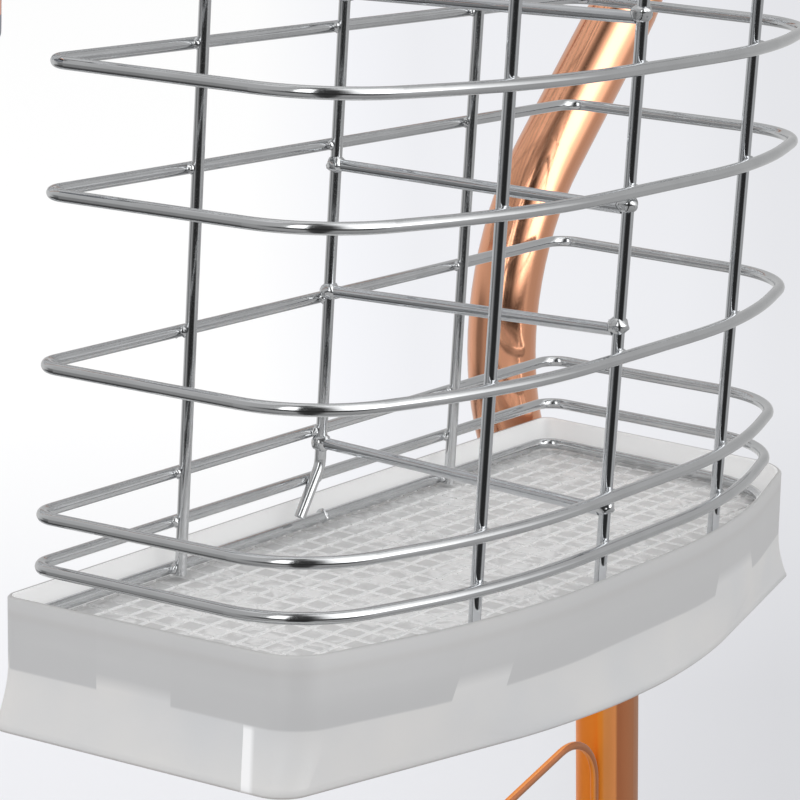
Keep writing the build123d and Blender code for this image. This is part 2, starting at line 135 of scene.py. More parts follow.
def ramp(add, value, stops, smooth=False):
    """Output of a colour ramp with stops of (place, grey or colour)."""
    node = add("ShaderNodeValToRGB", Fac=value)
    node.color_ramp.interpolation = "EASE" if smooth else "LINEAR"
    elements = node.color_ramp.elements
    for number, (place, tone) in enumerate(stops):
        element = elements[number] if number < 2 else elements.new(place)
        element.position = place
        rgb = tone if isinstance(tone, tuple) else (tone, tone, tone)
        element.color = (*rgb, 1.0)
    return node.outputs["Color"]


# %% World with a dark front and white panels
world = bpy.data.worlds.new("studio")
bpy.context.scene.world = world
tree, add = tree_of(world)
direction = add("ShaderNodeTexCoord").outputs["Generated"]
split = add("ShaderNodeSeparateXYZ", Vector=direction)
compass = math_node(add, "ARCTAN2", split.outputs["Y"], split.outputs["X"])
turn_share = math_node(add, "MULTIPLY_ADD", compass, 1 / (2 * pi), 0.5)
height_share = math_node(add, "MULTIPLY_ADD", math_node(add, "ARCSINE", split.outputs["Z"]), 1 / pi, 0.5)


def ring_of_tones(stops):
    """Ramp round the compass from (degrees, tone) stops, where 0 is +X and 90 is +Y."""
    return ramp(add, turn_share, [((degrees + 180) / 360, tone) for degrees, tone in stops])


def tones_by_height(stops, smooth=False):
    """Ramp over the height above the horizon from (degrees, tone) stops."""
    return ramp(add, height_share, [((degrees + 90) / 180, tone) for degrees, tone in stops], smooth)


low_ring = ring_of_tones([
    (-180, 0.75), (-158, 0.55), (-148, 0.24), (-130, 0.24), (-120, 0.42), (-111, 0.43), (-91, 0.16),
    (-83, 0.06), (-70, 0.03), (-10, 0.03), (5, 0.26), (16, 0.62), (28, 0.48), (60, 0.48), (110, 0.62),
    (180, 0.75),
])
middle_ring = ring_of_tones([
    (-180, 0.72), (-130, 0.55), (-81, 0.55), (-79, 2.6), (-66, 2.6), (-63, 0.05), (-42, 0.05), (-35, 0.35),
    (-28, 1.2), (-20, 1.7), (-12, 3.3), (14, 3.3), (25, 1.5), (55, 0.55), (100, 0.52), (180, 0.72),
])
high_ring = ring_of_tones([
    (-180, 0.95), (-120, 0.85), (-95, 0.35), (-60, 0.09), (-45, 0.30), (-30, 0.80), (-10, 1.6), (60, 1.5),
    (100, 0.9), (180, 0.95),
])
above = tones_by_height([(-4, 0.0), (6, 1.0)], smooth=True)
top = tones_by_height([(45, 0.0), (66, 1.0)], smooth=True)
below = tones_by_height([(-28, 1.0), (-18, 0.0)], smooth=True)
table = tones_by_height([(-90, 0.32), (-60, 0.36), (-26, 0.48)])
shaded = ring_of_tones([
    (-180, 0.2), (-142, 0.2), (-130, 0.8), (-85, 1.0), (-66, 1.0), (-62, 0.12), (-43, 0.12), (-37, 1.0),
    (165, 1.0), (178, 0.2),
])
dark_table = mixed(add, 1.0, table, shaded, blend="MULTIPLY")
lower_room = mixed(add, above, low_ring, middle_ring)
room = mixed(add, top, lower_room, high_ring)
room_and_table = mixed(add, below, room, dark_table)
reflected = add("ShaderNodeBackground", Color=room_and_table, Strength=1.0)
ambient = add("ShaderNodeBackground", Color=(1.0, 1.0, 1.0, 1.0), Strength=1.0)
backdrop = add("ShaderNodeBackground", Color=(0.93, 0.93, 0.94, 1.0), Strength=1.0)
rays = add("ShaderNodeLightPath").outputs
lit = add("ShaderNodeMixShader", i0=rays["Is Glossy Ray"], i1=ambient.outputs[0], i2=reflected.outputs[0])
seen = add("ShaderNodeMixShader", i0=rays["Is Camera Ray"], i1=lit.outputs[0], i2=backdrop.outputs[0])
add("ShaderNodeOutputWorld", Surface=seen.outputs[0])
print("studio world set")

# %% [markdown]
# The floor is pale and goes on far behind the object. Its white fades to a cool light grey on the
# right side and near the front, as in the photograph, and this fade is painted shade. Seen from the
# photographer's place, the share from left to right is the sideways distance over the distance away,
# and nearness works the same way.
# Chrome doesn't reflect the floor, because the world's lower half already holds a table.

# %% Floor
FLOOR_SIZE = 24.0
NEAREST = 0.2
FLOOR_GLOW, GLOW_SHARE = 0.92, 0.55
bm = bmesh.new()
bmesh.ops.create_grid(bm, x_segments=2, y_segments=2, size=FLOOR_SIZE / 2)
floor_mesh = bpy.data.meshes.new("floor")
bm.to_mesh(floor_mesh)
bm.free()
floor = bpy.data.objects.new("floor", floor_mesh)
bpy.context.scene.collection.objects.link(floor)
floor.visible_glossy = False
floor_paint = bpy.data.materials.new("floor_paint")
tree, add = tree_of(floor_paint)
place = add("ShaderNodeTexCoord").outputs["Object"]
split = add("ShaderNodeSeparateXYZ", Vector=place)


def from_eye(direction):
    """How far a place on the floor lies from the photographer's place, along a direction."""
    along_x = math_node(add, "MULTIPLY_ADD", split.outputs["X"], direction.x, -eye.dot(direction))
    return math_node(add, "MULTIPLY_ADD", split.outputs["Y"], direction.y, along_x)


def share_of(distance):
    """Share of the picture's side that a distance takes, measured from its middle."""
    return math_node(
        add, "MULTIPLY_ADD", math_node(add, "DIVIDE", distance, away), FOCAL_PIXELS / IMAGE_SIDE, 0.5
    )


def cool(tone):
    """Grey with a little less red and a little more blue."""
    return (tone * 0.985, tone * 0.993, tone * 1.03)


away = math_node(add, "MAXIMUM", from_eye(-looks_back), NEAREST)
side_share = share_of(from_eye(looks_right))
down_share = share_of(from_eye(-looks_up))
# Painted shade: the floor's tone falls from white to a cool grey towards the right and the front
far_painted_shade = ramp(add, side_share, [
    (0.31, (1.02, 1.02, 1.02)), (0.44, cool(0.94)), (0.52, cool(0.89)), (0.61, cool(0.90)),
    (0.85, cool(0.87)), (0.97, cool(0.82)),
])
near_painted_shade = ramp(add, side_share, [
    (0.0, cool(0.905)), (0.35, cool(0.87)), (0.66, cool(0.81)), (0.81, cool(0.745)), (0.97, cool(0.70)),
])
near_part = ramp(add, down_share, [(0.5, 0.0), (0.86, 1.0)])
tone = mixed(add, near_part, far_painted_shade, near_painted_shade)
matt = add("ShaderNodeBsdfDiffuse", Color=tone)
# Camera rays see part of the floor as a painted glow of its own tone
glow = add("ShaderNodeEmission", Color=tone, Strength=FLOOR_GLOW)
seen_directly = add("ShaderNodeLightPath").outputs["Is Camera Ray"]
glowing = math_node(add, "MULTIPLY", seen_directly, GLOW_SHARE)
shown = add("ShaderNodeMixShader", i0=glowing, i1=matt.outputs[0], i2=glow.outputs[0])
add("ShaderNodeOutputMaterial", Surface=shown.outputs[0])
floor_mesh.materials.append(floor_paint)


# %% Soft lamps
def soft_lamp(name, place, aim, size, watts):
    """Square area lamp that wires don't mirror."""
    data = bpy.data.lights.new(name, "AREA")
    data.shape = "SQUARE"
    data.size = size
    data.energy = watts
    lamp = bpy.data.objects.new(name, data)
    bpy.context.scene.collection.objects.link(lamp)
    lamp.location = place
    lamp.rotation_euler = (Vector(aim) - Vector(place)).to_track_quat("-Z", "Y").to_euler()
    lamp.visible_glossy = False


soft_lamp("lamp_right", (1.8, 0.4, 1.9), (0.15, 0.0, 0.25), 1.6, 6.0)
soft_lamp("lamp_left", (-1.4, -1.6, 2.0), (0.0, 0.0, 0.25), 1.6, 10.0)
print("lamps set")

# %% [markdown]
# ## Metal finishes
# Plated metal is a mirror with small faults. A fine noise gives small marks, and a coarse noise gives
# the slight waviness that bends the reflections. Near the floor the tubes turn rougher and less
# metallic, and a golden to brown tint across them is painted reflection and shade.

# %% Metals
SEEN_ON_THE_RIGHT = (0.81, 0.58, 0.0)


def painted_reflection_tint(add):
    """Painted reflection and shade: golden, then brown tint round a lower tube, left to right in the
    photograph.
    """
    normal = add("ShaderNodeTexCoord").outputs["Normal"]
    facing = add("ShaderNodeVectorMath", {"operation": "DOT_PRODUCT"}, i0=normal, i1=SEEN_ON_THE_RIGHT)
    half_turn = math_node(add, "MULTIPLY_ADD", facing.outputs["Value"], 0.5, 0.5)
    return ramp(add, half_turn, [
        (0.0, (1.0, 0.32, 0.07)), (0.10, (1.0, 0.28, 0.02)), (0.31, (1.0, 0.28, 0.02)),
        (0.34, (1.0, 0.33, 0.03)), (0.39, (1.0, 0.33, 0.03)), (0.43, (0.98, 0.38, 0.10)),
        (0.60, (0.92, 0.35, 0.11)), (0.64, (0.46, 0.155, 0.06)), (0.85, (0.42, 0.16, 0.065)),
        (1.0, (0.40, 0.18, 0.09)),
    ])


def metal(name, colour, roughness, wave_scale, wave_bump, tint_spread, dull_and_shaded_below=None):
    """Plated metal with waviness, fine marks and a spread of tone; below a height in metres it is duller,
    with painted reflection and shade.
    """
    material = bpy.data.materials.new(name)
    tree, add = tree_of(material)
    place = add("ShaderNodeTexCoord").outputs["Object"]
    wave = add("ShaderNodeTexNoise", Vector=place, Scale=wave_scale, Detail=2.0, Roughness=0.4).outputs["Fac"]
    grain = add("ShaderNodeTexNoise", Vector=place, Scale=2600.0, Detail=3.0, Roughness=0.6).outputs["Fac"]
    darker = tuple(channel * (1 - tint_spread) for channel in colour)
    tint = ramp(add, wave, [(0.35, darker), (0.65, colour)])
    plating = 1.0
    rough = mapped(add, grain, (0.35, 0.75), (roughness * 0.8, roughness * 1.5))
    if dull_and_shaded_below:
        height = add("ShaderNodeSeparateXYZ", Vector=place).outputs["Z"]
        dull_and_shaded = ramp(add, height, [(dull_and_shaded_below - 0.02, 1.0), (dull_and_shaded_below + 0.03, 0.0)])
        # Below the height, a tint of painted reflection and shade takes over
        tint = mixed(add, dull_and_shaded, tint, painted_reflection_tint(add))
        plating = math_node(add, "MULTIPLY_ADD", dull_and_shaded, -0.5, 1.0)
        rough = math_node(add, "MULTIPLY_ADD", dull_and_shaded, 0.26, rough)
    wavy = add("ShaderNodeBump", Height=wave, Strength=0.5, Distance=wave_bump).outputs[0]
    fine = add("ShaderNodeBump", Height=grain, Strength=0.15, Distance=0.00001, Normal=wavy).outputs[0]
    shader = add("ShaderNodeBsdfPrincipled", Base_Color=tint, Metallic=plating, Roughness=rough, Normal=fine)
    add("ShaderNodeOutputMaterial", Surface=shader.outputs[0])
    return material


chrome = metal("chrome_wire", (0.62, 0.635, 0.655), 0.085, 130.0, 0.00014, 0.06)
satin_chrome = metal("satin_chrome", (0.63, 0.64, 0.65), 0.115, 110.0, 0.00012, 0.06)
copper = metal("copper_plate", (0.93, 0.45, 0.27), 0.13, 45.0, 0.0003, 0.05, dull_and_shaded_below=0.19)
steel = metal("screw_steel", (0.55, 0.55, 0.56), 0.24, 400.0, 0.0001, 0.10)

# %% [markdown]
# ## Plastics and rubber
# Moulded plastic has a fine texture from the mould and a slow change of tone. The frosted cup lets
# some light through and has a faint painted glow, as if it were lit from behind.

# %% Plastics
def moulded(name, colour, roughness, grain_scale, grain_bump, through=0.0, spread=0.05, lit=0.0):
    """Moulded plastic or rubber with grain, a share of light that passes, and a painted glow for light let in
    from behind.
    """
    material = bpy.data.materials.new(name)
    tree, add = tree_of(material)
    place = add("ShaderNodeTexCoord").outputs["Object"]
    cloud = add("ShaderNodeTexNoise", Vector=place, Scale=22.0, Detail=2.0, Roughness=0.5).outputs["Fac"]
    grain_noise = add("ShaderNodeTexNoise", Vector=place, Scale=grain_scale, Detail=3.0, Roughness=0.6)
    grain = grain_noise.outputs["Fac"]
    darker = tuple(channel * (1 - spread) for channel in colour)
    bump = add("ShaderNodeBump", Height=grain, Strength=0.3, Distance=grain_bump)
    shader = add(
        "ShaderNodeBsdfPrincipled",
        Base_Color=ramp(add, cloud, [(0.35, darker), (0.65, colour)]),
        Roughness=mapped(add, grain, (0.0, 1.0), (roughness * 0.85, roughness * 1.15)),
        IOR=1.45,
        Transmission_Weight=through,
        # Painted glow in the plastic's own colour
        Emission_Color=(*colour, 1.0),
        Emission_Strength=lit,
        Normal=bump.outputs[0],
    )
    add("ShaderNodeOutputMaterial", Surface=shader.outputs[0])
    return material


grey_plastic = moulded("grey_plastic", (0.27, 0.28, 0.30), 0.45, 1800.0, 0.00004)
black_rubber = moulded("black_rubber", (0.035, 0.035, 0.037), 0.65, 1400.0, 0.00006, spread=0.2)
tray_plastic = moulded("tray_plastic", (0.70, 0.71, 0.72), 0.38, 1500.0, 0.00003)
# The frosted plastic has a painted glow
frosted = moulded("frosted_plastic", (0.80, 0.80, 0.80), 0.42, 1500.0, 0.00003, through=0.12, lit=0.30)

# %% Finishes onto the CAD nodes
finish_of_slot = {
    "chrome_wire": chrome,
    "copper_plate": copper,
    "screw_steel": steel,
    "grey_plastic": grey_plastic,
    "black_rubber": black_rubber,
    "tray_plastic": tray_plastic,
    "frosted_plastic": frosted,
}
# The basket's level wires, its hooks and its middle upright mirror a little less sharply
SATIN_PARTS = ("basket_hook", "basket_upright_middle", "basket_ring", "basket_rim")
for part in frame["record"]["subparts"]:
    node = nodes[part["node"]]
    if not node.material_slots:
        node.data.materials.append(None)
    for slot in node.material_slots:
        slot.link = "OBJECT"
        satin = part["node"].startswith(SATIN_PARTS)
        slot.material = satin_chrome if satin else finish_of_slot[part["material_slot"]]
# The photograph shows no copper in the chrome and the cup, so the two tubes are left out of mirrors
for name in ("side_frame_left", "side_frame_right"):
    nodes[name].visible_glossy = False


# %% [markdown]
# ## Numbers of the cutlery basket
# The basket leans a little and each of its rings is tilted a little. The weld beads and the cup
# need the same numbers as the CAD source, so they are written here once, in millimetres.

# %% Basket numbers
MIDDLE_X, MIDDLE_Y = 46.9709, 31.3593
BASKET_X, BASKET_BASE, PIVOT = 224.7, 240.0, 63.2
HALF_WIDTH, REACH, BASKET_HEIGHT = 100.0, 86.4, 145.5
LEAN_OUT, LEAN_BACK = tan(radians(0.70)), tan(radians(0.47))
RING_HEIGHT_SHARES = (0.0131, 0.0895, 0.1687, 0.3856, 0.6330, 0.8165, 1.0)
RING_HEIGHTS = [share * BASKET_HEIGHT for share in RING_HEIGHT_SHARES]
TILTS_OUT = (0.88, 1.31, 1.55, 0.88, 1.08, 0.54, 0.54)
TILTS_BACK = (0.29, 0.27, 0.26, 0.09, -0.19, -0.24, -0.24)
BACK_UPRIGHT_SHARES = (-0.523, -0.0215, 0.5235)
WIRE, PRESSED = 2.7, 0.36
HALF_WAY = (WIRE - PRESSED) / 2


def basket_middle(height):
    """Middle of the basket's outline at a height, in the row frame, in millimetres."""
    rise = height - PIVOT
    x = BASKET_X - MIDDLE_X + REACH / 2 + LEAN_OUT * rise
    return Vector((x, -MIDDLE_Y + LEAN_BACK * rise, BASKET_BASE + height))


def ring_level(number, x, y):
    """Height of a ring's middle plane above a point, in millimetres."""
    middle = basket_middle(RING_HEIGHTS[number])
    rise_out = tan(radians(TILTS_OUT[number])) * (x - middle.x)
    rise_back = tan(radians(TILTS_BACK[number])) * (y - middle.y)
    return middle.z + (rise_out + rise_back)


# %% [markdown]
# ## Weld beads
# The wires are spot welded where they cross. The heat presses them together and squeezes out a small
# collar with a few whiskers of metal. Each bead is an icosphere, pulled long along the ring and then
# pushed in and out by a noise whose place is drawn anew each time, so that no two are the same.

# %% Bead maker
draw = np.random.default_rng(7)
COARSE_PUSH, FINE_PUSH = 0.22, 0.10
WHISKER_FOOT, WHISKER_TIP = 0.35, 0.05


def new_piece(name, bm, material, body, smooth=True):
    """Object from a bmesh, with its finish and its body."""
    mesh = bpy.data.meshes.new(name)
    bm.to_mesh(mesh)
    bm.free()
    if smooth:
        for face in mesh.polygons:
            face.use_smooth = True
    piece = bpy.data.objects.new(name, mesh)
    bpy.context.scene.collection.objects.link(piece)
    mesh.materials.append(material)
    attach(piece, body)
    return piece


def bead(bm, centre, along, size):
    """Weld bead at a point in millimetres, with its radii along, across and upright in size."""
    shift = Vector(draw.uniform(-50, 50, 3))
    side = along.normalized()
    out = side.orthogonal() if abs(side.z) > 0.9 else Vector((side.y, -side.x, 0)).normalized()
    up = side.cross(out)
    for vert in bmesh.ops.create_icosphere(bm, subdivisions=3, radius=1.0)["verts"]:
        local = vert.co.copy()
        push = 1 + COARSE_PUSH * noise.noise(local * 1.6 + shift)
        push += FINE_PUSH * noise.noise(local * 4.5 + shift)
        point = side * local.x * size[0] + out * local.y * size[1] + up * local.z * size[2]
        vert.co = (centre + point * push) * MM


def whisker(bm, centre, direction, length):
    """Thin spike of metal thrown out of a weld."""
    made = bmesh.ops.create_cone(
        bm, cap_ends=True, segments=6, radius1=WHISKER_FOOT * MM, radius2=WHISKER_TIP * MM, depth=length * MM
    )["verts"]
    turn = Vector((0, 0, 1)).rotation_difference(direction.normalized()).to_matrix()
    middle = (centre + direction.normalized() * length / 2) * MM
    bmesh.ops.rotate(bm, verts=made, cent=(0, 0, 0), matrix=turn)
    bmesh.ops.translate(bm, verts=made, vec=middle)


# %% Places of the uprights
BACK_X = BASKET_X - MIDDLE_X + WIRE - PRESSED
back_points = [
    Vector((BACK_X, share * HALF_WIDTH - MIDDLE_Y, BASKET_BASE + PIVOT)) for share in BACK_UPRIGHT_SHARES
]


def wire_middle(node):
    """Middle of the box round a wire, in millimetres."""
    low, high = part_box(node)
    return (low + high) / 2 / MM


def at_height(point, z):
    """Point of a leaning wire at a height, from one of its points."""
    rise = z - point.z
    return Vector((point.x + LEAN_OUT * rise, point.y + LEAN_BACK * rise, z))


bow_middles = [wire_middle(f"basket_upright_bow_{number}") for number in (1, 2, 3)]
print("uprights at the back and on the bow:", len(back_points), len(bow_middles))

# %% Beads on the basket
BACK_BEAD, BOW_BEAD, JOINT_BEAD = (2.2, 1.35, 1.45), (2.3, 1.4, 1.5), (0.9, 1.75, 1.75)
BACK_WHISKERS, BOW_WHISKERS = 0.45, 0.35
BOW_SLOPES = (0.22, 0.04, -0.24)
JOINT_SIDEWAYS = 3.1
bm = bmesh.new()
count = 0
for number in range(len(RING_HEIGHTS)):
    for index, point in enumerate(back_points):
        # The middle upright is bent away from the lowest ring and isn't welded to it
        if index == 1 and number == 0:
            continue
        place = at_height(point, ring_level(number, point.x, point.y)) + Vector((-HALF_WAY, 0, 0))
        bead(bm, place, Vector((0, 1, 0)), BACK_BEAD)
        if draw.random() < BACK_WHISKERS:
            spike = Vector((-0.3, draw.choice((-1, 1)), draw.uniform(-0.6, 0.9)))
            whisker(bm, place, spike, draw.uniform(2.2, 3.4))
        count += 1
    for point, slope in zip(bow_middles, BOW_SLOPES):
        outward = Vector((1, -slope, 0)).normalized()
        along = Vector((slope, 1, 0)).normalized()
        place = at_height(point, ring_level(number, point.x, point.y)) + outward * HALF_WAY
        bead(bm, place, along, BOW_BEAD)
        if draw.random() < BOW_WHISKERS:
            spike = along * draw.choice((-1, 1)) + Vector((0, 0, draw.uniform(-0.8, 0.8)))
            whisker(bm, place, spike, draw.uniform(2.0, 3.2))
        count += 1
# Where the two ends of the lowest ring's wire meet, a narrow collar stands out
joint = basket_middle(RING_HEIGHTS[0]) + Vector((-REACH / 2, JOINT_SIDEWAYS, 0))
joint.z = ring_level(0, joint.x, joint.y)
bead(bm, joint, Vector((0, 1, 0)), JOINT_BEAD)
new_piece("basket_weld_beads", bm, satin_chrome, "basket")
print("beads on the basket:", count)

# %% Beads at the ends of the divider wires
DIVIDERS_BACK = (0.144, 0.394, 0.5975, 0.868)
DIVIDERS_BOW = (0.156, 0.434, 0.617, 0.897)
END_BEAD, COLLAR_BEAD = (2.1, 1.65, 1.65), (1.2, 1.5, 1.5)
END_SHIFT, COLLAR_SHIFT, SPIKE_SHIFT = 0.3, 1.5, 0.8
BOW_END_SPIKES = 6
bm = bmesh.new()
for low_share, high_share in zip(DIVIDERS_BACK, DIVIDERS_BOW):
    start = at_height(back_points[1], BASKET_BASE + low_share * BASKET_HEIGHT)
    end = at_height(bow_middles[1], BASKET_BASE + high_share * BASKET_HEIGHT)
    along = (end - start).normalized()
    bead(bm, start + along * END_SHIFT, Vector((0, 0, 1)), END_BEAD)
    bead(bm, end - along * END_SHIFT, Vector((0, 0, 1)), END_BEAD)
    bead(bm, end - along * COLLAR_SHIFT, along, COLLAR_BEAD)
    for _ in range(BOW_END_SPIKES):
        spike = Vector(draw.uniform(-1, 1, 3))
        whisker(bm, end - along * SPIKE_SHIFT, spike, draw.uniform(2.0, 2.9))
new_piece("divider_weld_beads", bm, satin_chrome, "basket")

# %% [markdown]
# ## The drip cup
# The cup is one frosted moulding: a shallow basin that takes the lowest ring, with a skirt that
# flares out below. A chain of outlines at different heights is joined into a closed shell. Each
# outline starts as six corner points, which a vertex bevel rounds, so that all outlines have the
# same number of points and each point has its partner in the next outline.

# %% Cup numbers and outline
RIM_HEIGHT, STEP_DEPTH, SKIRT_DEPTH = 7.4, 8.4, 21.3
CUP_WALL, FLOOR_HEIGHT, LIP = 1.4, -0.644, 0.45
RIM_SIDE, RIM_BENDS = ((-3.6, 104.7), (71.43, 100.2), (89.7, 45.9)), (3.5, 12.0, 163.0)
SKIRT_SIDE, SKIRT_BENDS = ((-4.2, 108.5), (72.03, 104.4), (92.5, 24.0)), (4.0, 8.0, 160.0)
BEND_STEPS = (8, 14, 20)
cup_normal = Vector((-tan(radians(1.32)), -tan(radians(0.46)), 1)).normalized()
cup_right = Vector((1, 0, tan(radians(1.32)))).normalized()
cup_back = cup_normal.cross(cup_right)
cup_origin = basket_middle(RING_HEIGHTS[0]) - Vector((0, 0, RING_HEIGHTS[0]))
cup_turn = Matrix((cup_right, cup_back, cup_normal)).transposed().to_4x4()
cup_place = Matrix.Scale(MM, 4) @ Matrix.Translation(cup_origin) @ cup_turn


def inset_corners(side, inset):
    """Six corners of an outline about the basket's middle, moved inwards by an inset."""
    front_half = [Vector((x - REACH / 2, -y)) for x, y in side]
    rear_half = [Vector((x - REACH / 2, y)) for x, y in side[::-1]]
    ring = front_half + rear_half
    moved = []
    for number, corner in enumerate(ring):
        before = (corner - ring[number - 1]).normalized()
        after = (ring[(number + 1) % len(ring)] - corner).normalized()
        mitre = Vector((before.y + after.y, -before.x - after.x))
        moved.append(corner - mitre * inset / (1 + before.dot(after)))
    return moved


def outline(bm, inset, height, side=RIM_SIDE, bends=RIM_BENDS):
    """Points round the cup at a height, in order from the front end of its flat back."""
    corners = inset_corners(side, inset)
    verts = [bm.verts.new((point.x, point.y, height)) for point in corners]
    bm.faces.new(verts)
    for number, vert in enumerate(verts):
        kind = min(number, len(verts) - 1 - number)
        before = (corners[number] - corners[number - 1]).normalized()
        after = (corners[(number + 1) % len(corners)] - corners[number]).normalized()
        bmesh.ops.bevel(
            bm, geom=[vert], affect="VERTICES", offset=(bends[kind] - inset) * tan(before.angle(after) / 2),
            offset_type="OFFSET", segments=BEND_STEPS[kind], profile=0.5, material=-1,
        )
    bm.faces.ensure_lookup_table()
    face = bm.faces[-1]
    points = list(face.verts)
    if face.normal.z < 0:
        points.reverse()
    lowest = min(point.co.x for point in points)
    starts = [
        number for number, point in enumerate(points)
        if point.co.x < lowest + 0.01 and points[number - 1].co.y > 0 > point.co.y
    ]
    bmesh.ops.delete(bm, geom=[face], context="FACES_ONLY")
    return points[starts[0]:] + points[:starts[0]]


# %% Cup shell
FLARE_STEPS, FLARE_POWER = (0.18, 0.36, 0.54, 0.72, 0.88), 1.6


def flared(share):
    """Corners and bends of the skirt at a share of its depth: it starts upright and then flares."""
    eased = share ** FLARE_POWER
    side = [Vector(a).lerp(Vector(b), eased) for a, b in zip(RIM_SIDE, SKIRT_SIDE)]
    bends = [a + (b - a) * eased for a, b in zip(RIM_BENDS, SKIRT_BENDS)]
    return -STEP_DEPTH - share * (SKIRT_DEPTH - LIP - STEP_DEPTH), side, bends


bm = bmesh.new()
flare = [flared(share) for share in FLARE_STEPS]
chain = [
    (CUP_WALL, FLOOR_HEIGHT, RIM_SIDE, RIM_BENDS),
    (CUP_WALL, RIM_HEIGHT - LIP, RIM_SIDE, RIM_BENDS),
    (CUP_WALL - LIP, RIM_HEIGHT, RIM_SIDE, RIM_BENDS),
    (LIP, RIM_HEIGHT, RIM_SIDE, RIM_BENDS),
    (0.0, RIM_HEIGHT - LIP, RIM_SIDE, RIM_BENDS),
    (0.0, -STEP_DEPTH, RIM_SIDE, RIM_BENDS),
    *[(0.0, *step) for step in flare],
    (0.0, -SKIRT_DEPTH + LIP, SKIRT_SIDE, SKIRT_BENDS),
    (LIP, -SKIRT_DEPTH, SKIRT_SIDE, SKIRT_BENDS),
    (CUP_WALL, -SKIRT_DEPTH, SKIRT_SIDE, SKIRT_BENDS),
    *[(CUP_WALL, *step) for step in flare[::-1]],
    (CUP_WALL, -STEP_DEPTH, RIM_SIDE, RIM_BENDS),
    (CUP_WALL, FLOOR_HEIGHT - CUP_WALL, RIM_SIDE, RIM_BENDS),
]
rows = [outline(bm, *step) for step in chain]
print("points in each outline:", {len(row) for row in rows})
for lower, upper in zip(rows, rows[1:]):
    for number in range(len(lower)):
        bm.faces.new((lower[number - 1], lower[number], upper[number], upper[number - 1]))
for row in (rows[0], rows[-1]):
    bm.faces.new(row)
bmesh.ops.recalc_face_normals(bm, faces=bm.faces[:])

# %% [markdown]
# The outside of the wall carries painted shade for what lies behind it, and a painted highlight, so it
# needs a map: how far round the rim, and how high. A UV map holds both. Its seam is the front end of
# the flat back, where the count starts again.

# %% Map of the cup's wall
OUTER_EDGE, FIRST_OUTER, PAST_OUTER = 4, 2, 8 + len(flare)
rim_row = rows[OUTER_EDGE]
steps_round = [(rim_row[(n + 1) % len(rim_row)].co - rim_row[n].co).length for n in range(len(rim_row))]
around_at = [sum(steps_round[:n]) for n in range(len(rim_row))]
WALL_LENGTH = sum(steps_round)
OPEN_LENGTH = WALL_LENGTH - steps_round[-1]
place_of = {vert: (number, around_at[number]) for row in rows for number, vert in enumerate(row)}
uv_layer = bm.loops.layers.uv.new("wall_map")
outer_rows = {vert for row in rows[FIRST_OUTER:PAST_OUTER] for vert in row}
for face in bm.faces:
    numbers = [place_of[vert][0] for vert in face.verts]
    crosses = 0 in numbers and len(rim_row) - 1 in numbers
    face.material_index = 0 if all(vert in outer_rows for vert in face.verts) else 1
    for loop in face.loops:
        number, around = place_of[loop.vert]
        full = WALL_LENGTH if crosses and number == 0 else around
        loop[uv_layer].uv = (full / WALL_LENGTH, (loop.vert.co.z + SKIRT_DEPTH) / (RIM_HEIGHT + SKIRT_DEPTH))
print("wall length", round(WALL_LENGTH, 1), "mm")

# %% [markdown]
# Under the basin hang short inner walls, the tabs that stiffen the skirt and stop the cup from
# slipping on the basket. Through the frosted wall they show as a darker band with a stepped lower
# edge. The tabs are real plates inside the skirt, and the band is painted shade laid over the wall
# from its map.

# %% Frosted wall seen from outside
SIDE_TABS, BOW_TAB = ((4.0, 27.5), (46.6, 114.6)), (130.4, 214.8)
TAB_END, FRONT_GAP_END, BOW_GAP_END = -8.3, -6.2, -4.7
CRISP, SOFT, SLANT = 0.018, 0.10, 0.022
SLANT_STARTS, SLANT_IS_FULL = 80.0, 105.0
GAP_DARKNESS = 0.96
STREAK_START, STREAK_FALL = 64.8, (66.6, 67.7)
SHADE_BAND_TONE, GLINT_TONE = (0.495, 0.495, 0.495, 1.0), (0.90, 0.90, 0.90, 1.0)
LINE_TONE = (0.36, 0.33, 0.31, 1.0)
FLOOR_LINE_SHARE = 0.12


def wall_share(around):
    """Place on the wall map of a distance round the rim."""
    return around / WALL_LENGTH


def level_tone(height):
    """Height in the cup's millimetres as a tone between 0 and 1."""
    return (height + SKIRT_DEPTH) / (RIM_HEIGHT + SKIRT_DEPTH)


def tones_by_level(stops):
    """Ramp over the height in the wall from (millimetres, tone) stops."""
    return ramp(add, height, [(level_tone(level), tone) for level, tone in stops])


cup_outside = bpy.data.materials.new("frosted_wall")
tree, add = tree_of(cup_outside)
wall_map = add("ShaderNodeSeparateXYZ", Vector=add("ShaderNodeUVMap").outputs[0])
around, height = wall_map.outputs["X"], wall_map.outputs["Y"]
place = add("ShaderNodeTexCoord").outputs["Object"]
cloud = add("ShaderNodeTexNoise", Vector=place, Scale=38.0, Detail=2.0, Roughness=0.5).outputs["Fac"]
grain = add("ShaderNodeTexNoise", Vector=place, Scale=1500.0, Detail=3.0, Roughness=0.6).outputs["Fac"]
# Painted shade: a darker band where the tabs stand behind the wall, with a stepped lower edge, weaker towards
# the rim
from_back = math_node(add, "MINIMUM", around, math_node(add, "SUBTRACT", wall_share(OPEN_LENGTH), around))
over_tab = math_node(add, "SUBTRACT", height, level_tone(TAB_END))
slant = ramp(add, from_back, [(wall_share(SLANT_STARTS), 0.0), (wall_share(SLANT_IS_FULL), 1.0)])
slant_here = math_node(add, "MULTIPLY", math_node(add, "MULTIPLY", slant, over_tab), -SLANT)
in_tab = 0.0
for distance, (low, high) in ((from_back, SIDE_TABS[0]), (from_back, SIDE_TABS[1]), (around, BOW_TAB)):
    slanted = math_node(add, "ADD", distance, slant_here)
    within = math_node(add, "COMPARE", slanted, wall_share((low + high) / 2), wall_share((high - low) / 2))
    in_tab = math_node(add, "ADD", within, in_tab)
long_tab = [wall_share(end) for end in SIDE_TABS[1]]
